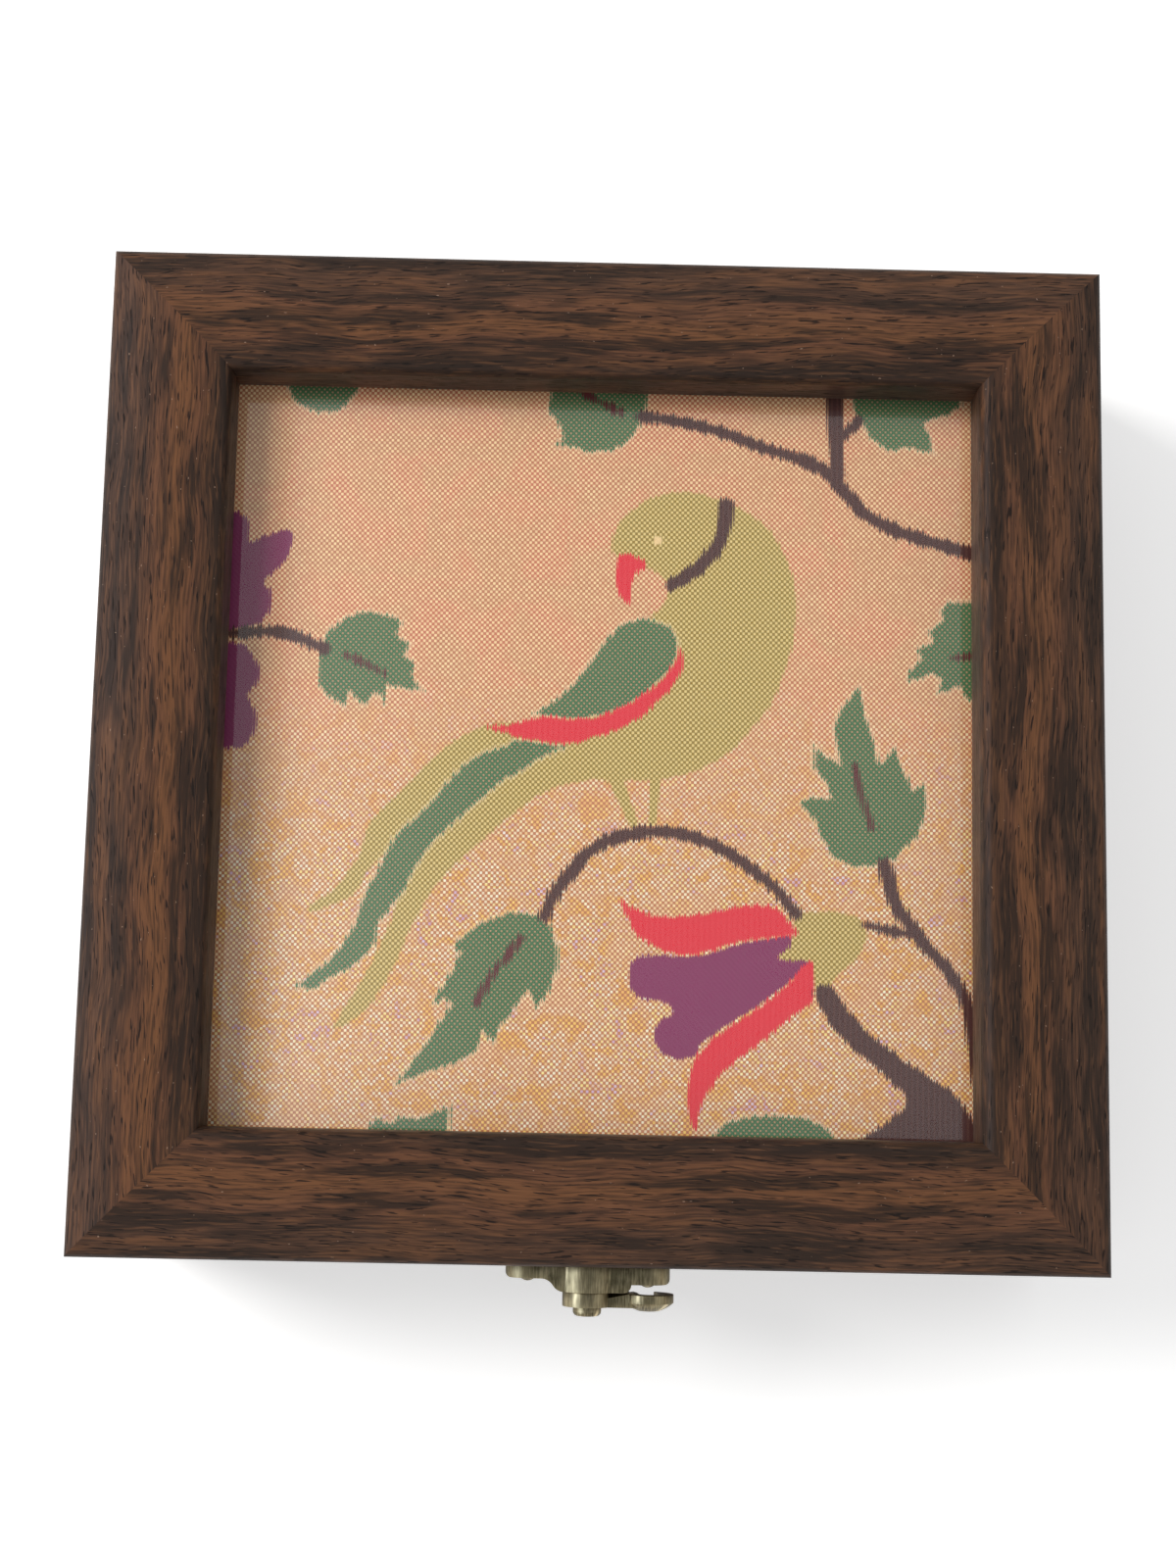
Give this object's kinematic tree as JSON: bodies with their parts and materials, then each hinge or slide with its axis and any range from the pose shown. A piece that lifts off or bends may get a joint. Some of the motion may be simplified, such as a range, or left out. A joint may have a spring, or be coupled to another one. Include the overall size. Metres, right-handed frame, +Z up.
{
  "type": "keepsake box",
  "caption": "Square wooden keepsake box: a hinged picture-frame lid shows a woven brocade panel under glass, closed by a small swing latch.",
  "frame": {"origin": "centre of the flat underside of the box's woodwork", "axes": "+Z up out of the lid, -Y towards the latch at the front, +Y towards the hinges, +X to the right"},
  "size_m": [0.152, 0.163, 0.051],
  "materials": {
    "walnut_foil": "satin wood-grain foil",
    "board": "raw fibreboard",
    "velvet": "short pile velvet",
    "glass": "clear",
    "brocade": "woven brocade",
    "card": "plain card",
    "antique_brass": "antiqued",
    "steel": "plain"
  },
  "bodies": {
    "body": {"wall_front": "walnut_foil", "wall_back": "walnut_foil", "wall_left": "walnut_foil", "wall_right": "walnut_foil", "bottom_panel": "board", "base_lining": "velvet", "lining_front": "velvet", "lining_back": "velvet", "lining_left": "velvet", "lining_right": "velvet", "hinge_body_leaf_left": "antique_brass", "hinge_body_leaf_right": "antique_brass", "hinge_pin_left": "antique_brass", "hinge_pin_right": "antique_brass", "hinge_body_screws": "antique_brass", "catch_plate": "antique_brass", "catch_peg": "antique_brass", "catch_plate_nails": "antique_brass", "corner_pins": "steel", "bottom_brads": "steel"},
    "lid": {"rail_front": "walnut_foil", "rail_back": "walnut_foil", "rail_left": "walnut_foil", "rail_right": "walnut_foil", "mitre_nails": "steel", "glass_pane": "glass", "brocade_cloth": "brocade", "mount_card": "card", "backing_board": "board", "backing_points": "steel", "lid_lining": "velvet", "hinge_lid_leaf_left": "antique_brass", "hinge_lid_leaf_right": "antique_brass", "hinge_lid_screws": "antique_brass", "latch_plate": "antique_brass", "latch_rivet": "antique_brass", "latch_plate_nails": "antique_brass"},
    "latch_arm": {"latch_arm": "antique_brass"}
  },
  "joints": [
    {"name": "lid_hinge", "type": "hinge", "parent": "body", "child": "lid", "pos_m": [0, 0.07772, 0.035], "axis": [-1, 0, 0], "range_deg": [0, 110]},
    {"name": "latch_swing", "type": "hinge", "parent": "lid", "child": "latch_arm", "pos_m": [0, -0.0812, 0.0405], "axis": [0, 1, 0], "range_deg": [-180, 90]}
  ]
}
